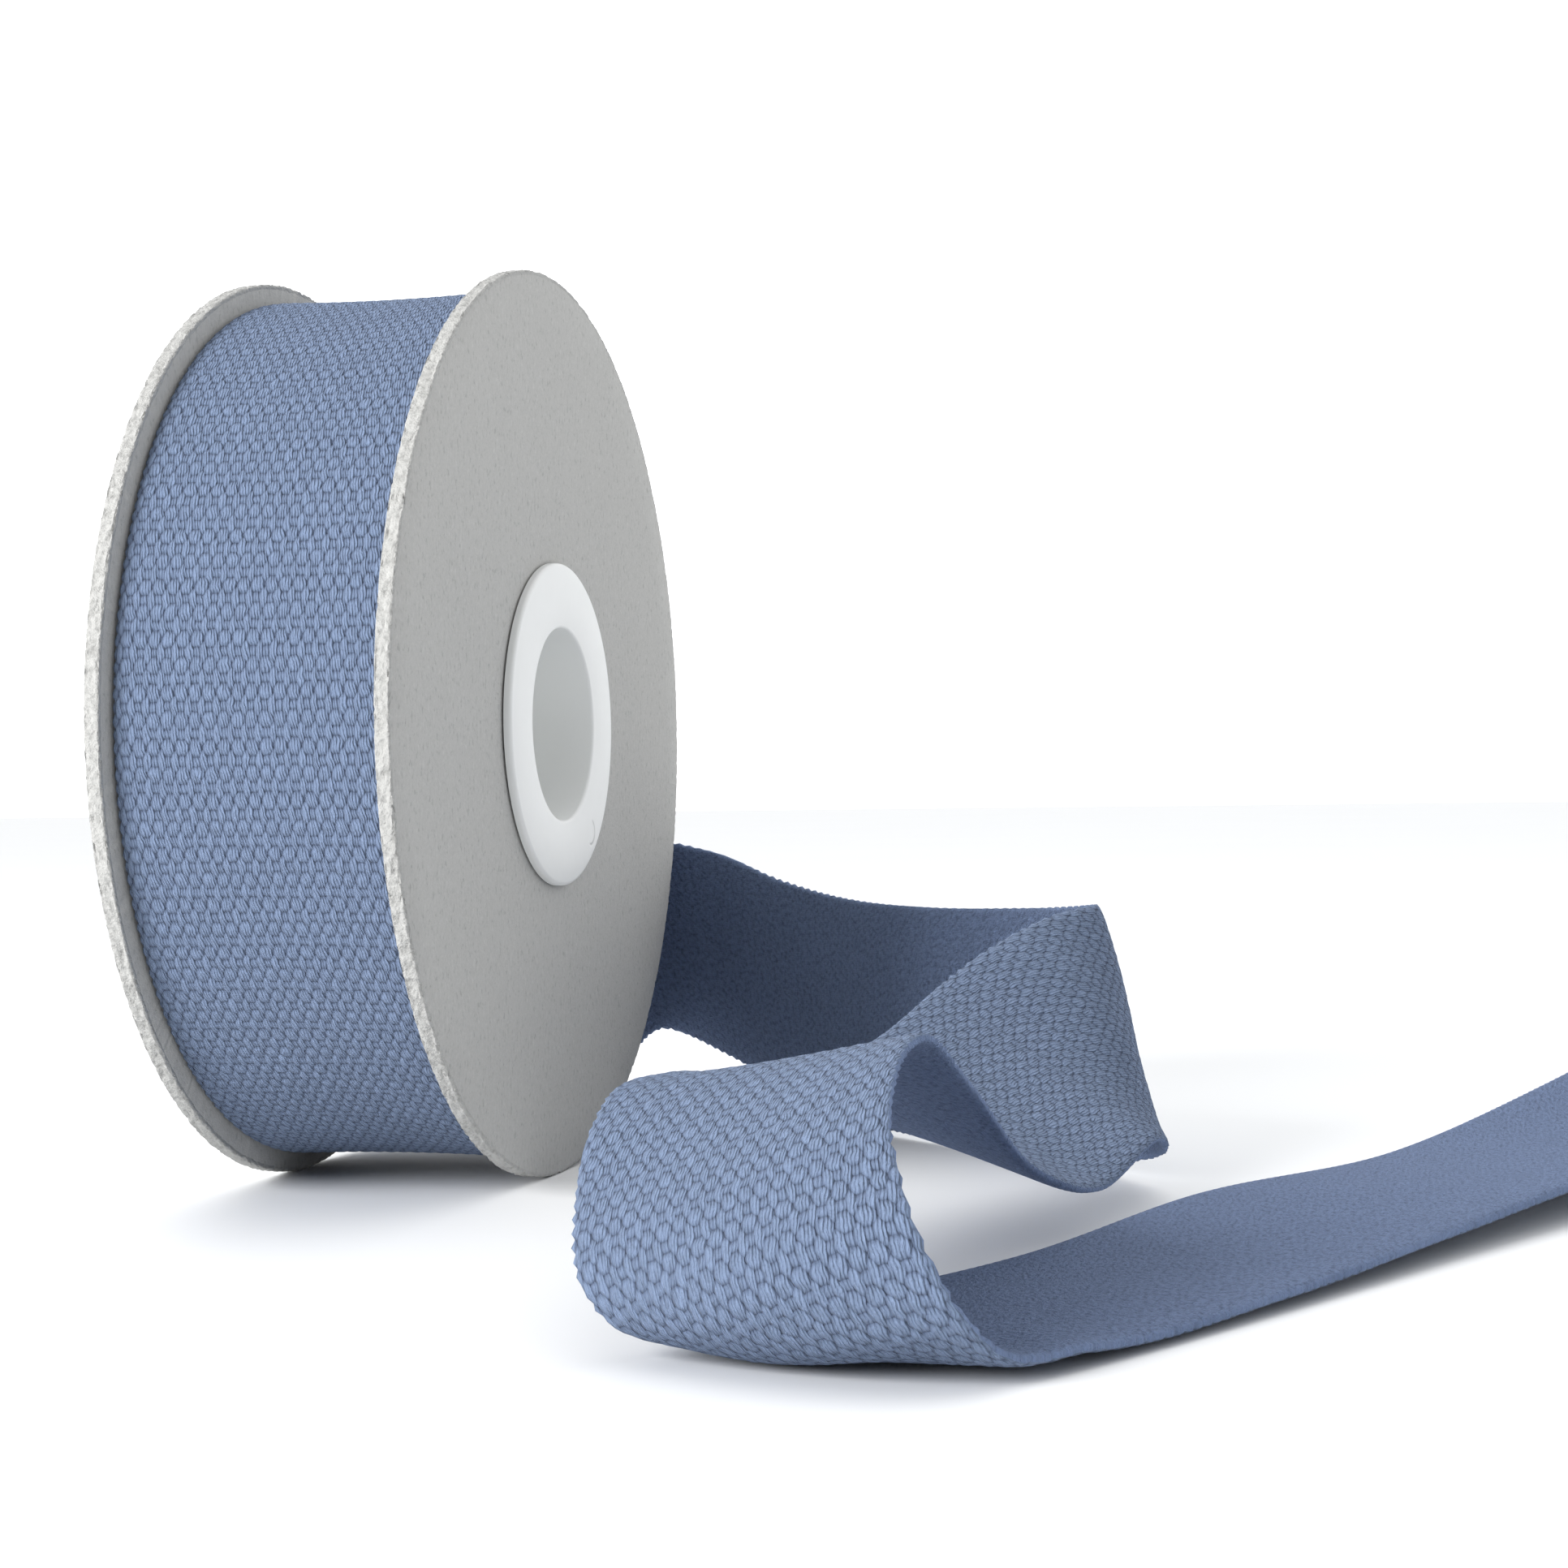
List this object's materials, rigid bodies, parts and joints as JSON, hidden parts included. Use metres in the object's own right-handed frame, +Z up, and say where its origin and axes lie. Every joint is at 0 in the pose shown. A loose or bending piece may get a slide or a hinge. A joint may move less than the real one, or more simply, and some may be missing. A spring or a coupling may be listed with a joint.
{
  "type": "roll of cotton webbing",
  "caption": "Roll of flat cotton webbing wound between two board discs on a ringed plastic hub, with its end drawn out in a loose loop.",
  "frame": {"origin": "middle of the short flat that the near board disc stands on, on the floor", "axes": "+X along the spindle axis towards the near disc, +Y away from the viewer, +Z up"},
  "size_m": [0.2369, 0.2367, 0.136],
  "materials": {
    "board": "matte",
    "hub": "satin",
    "webbing": "matte"
  },
  "bodies": {
    "root": {"disc_near": "board", "disc_far": "board", "hub": "hub", "webbing_roll": "webbing", "webbing_tail": "webbing"}
  },
  "joints": []
}
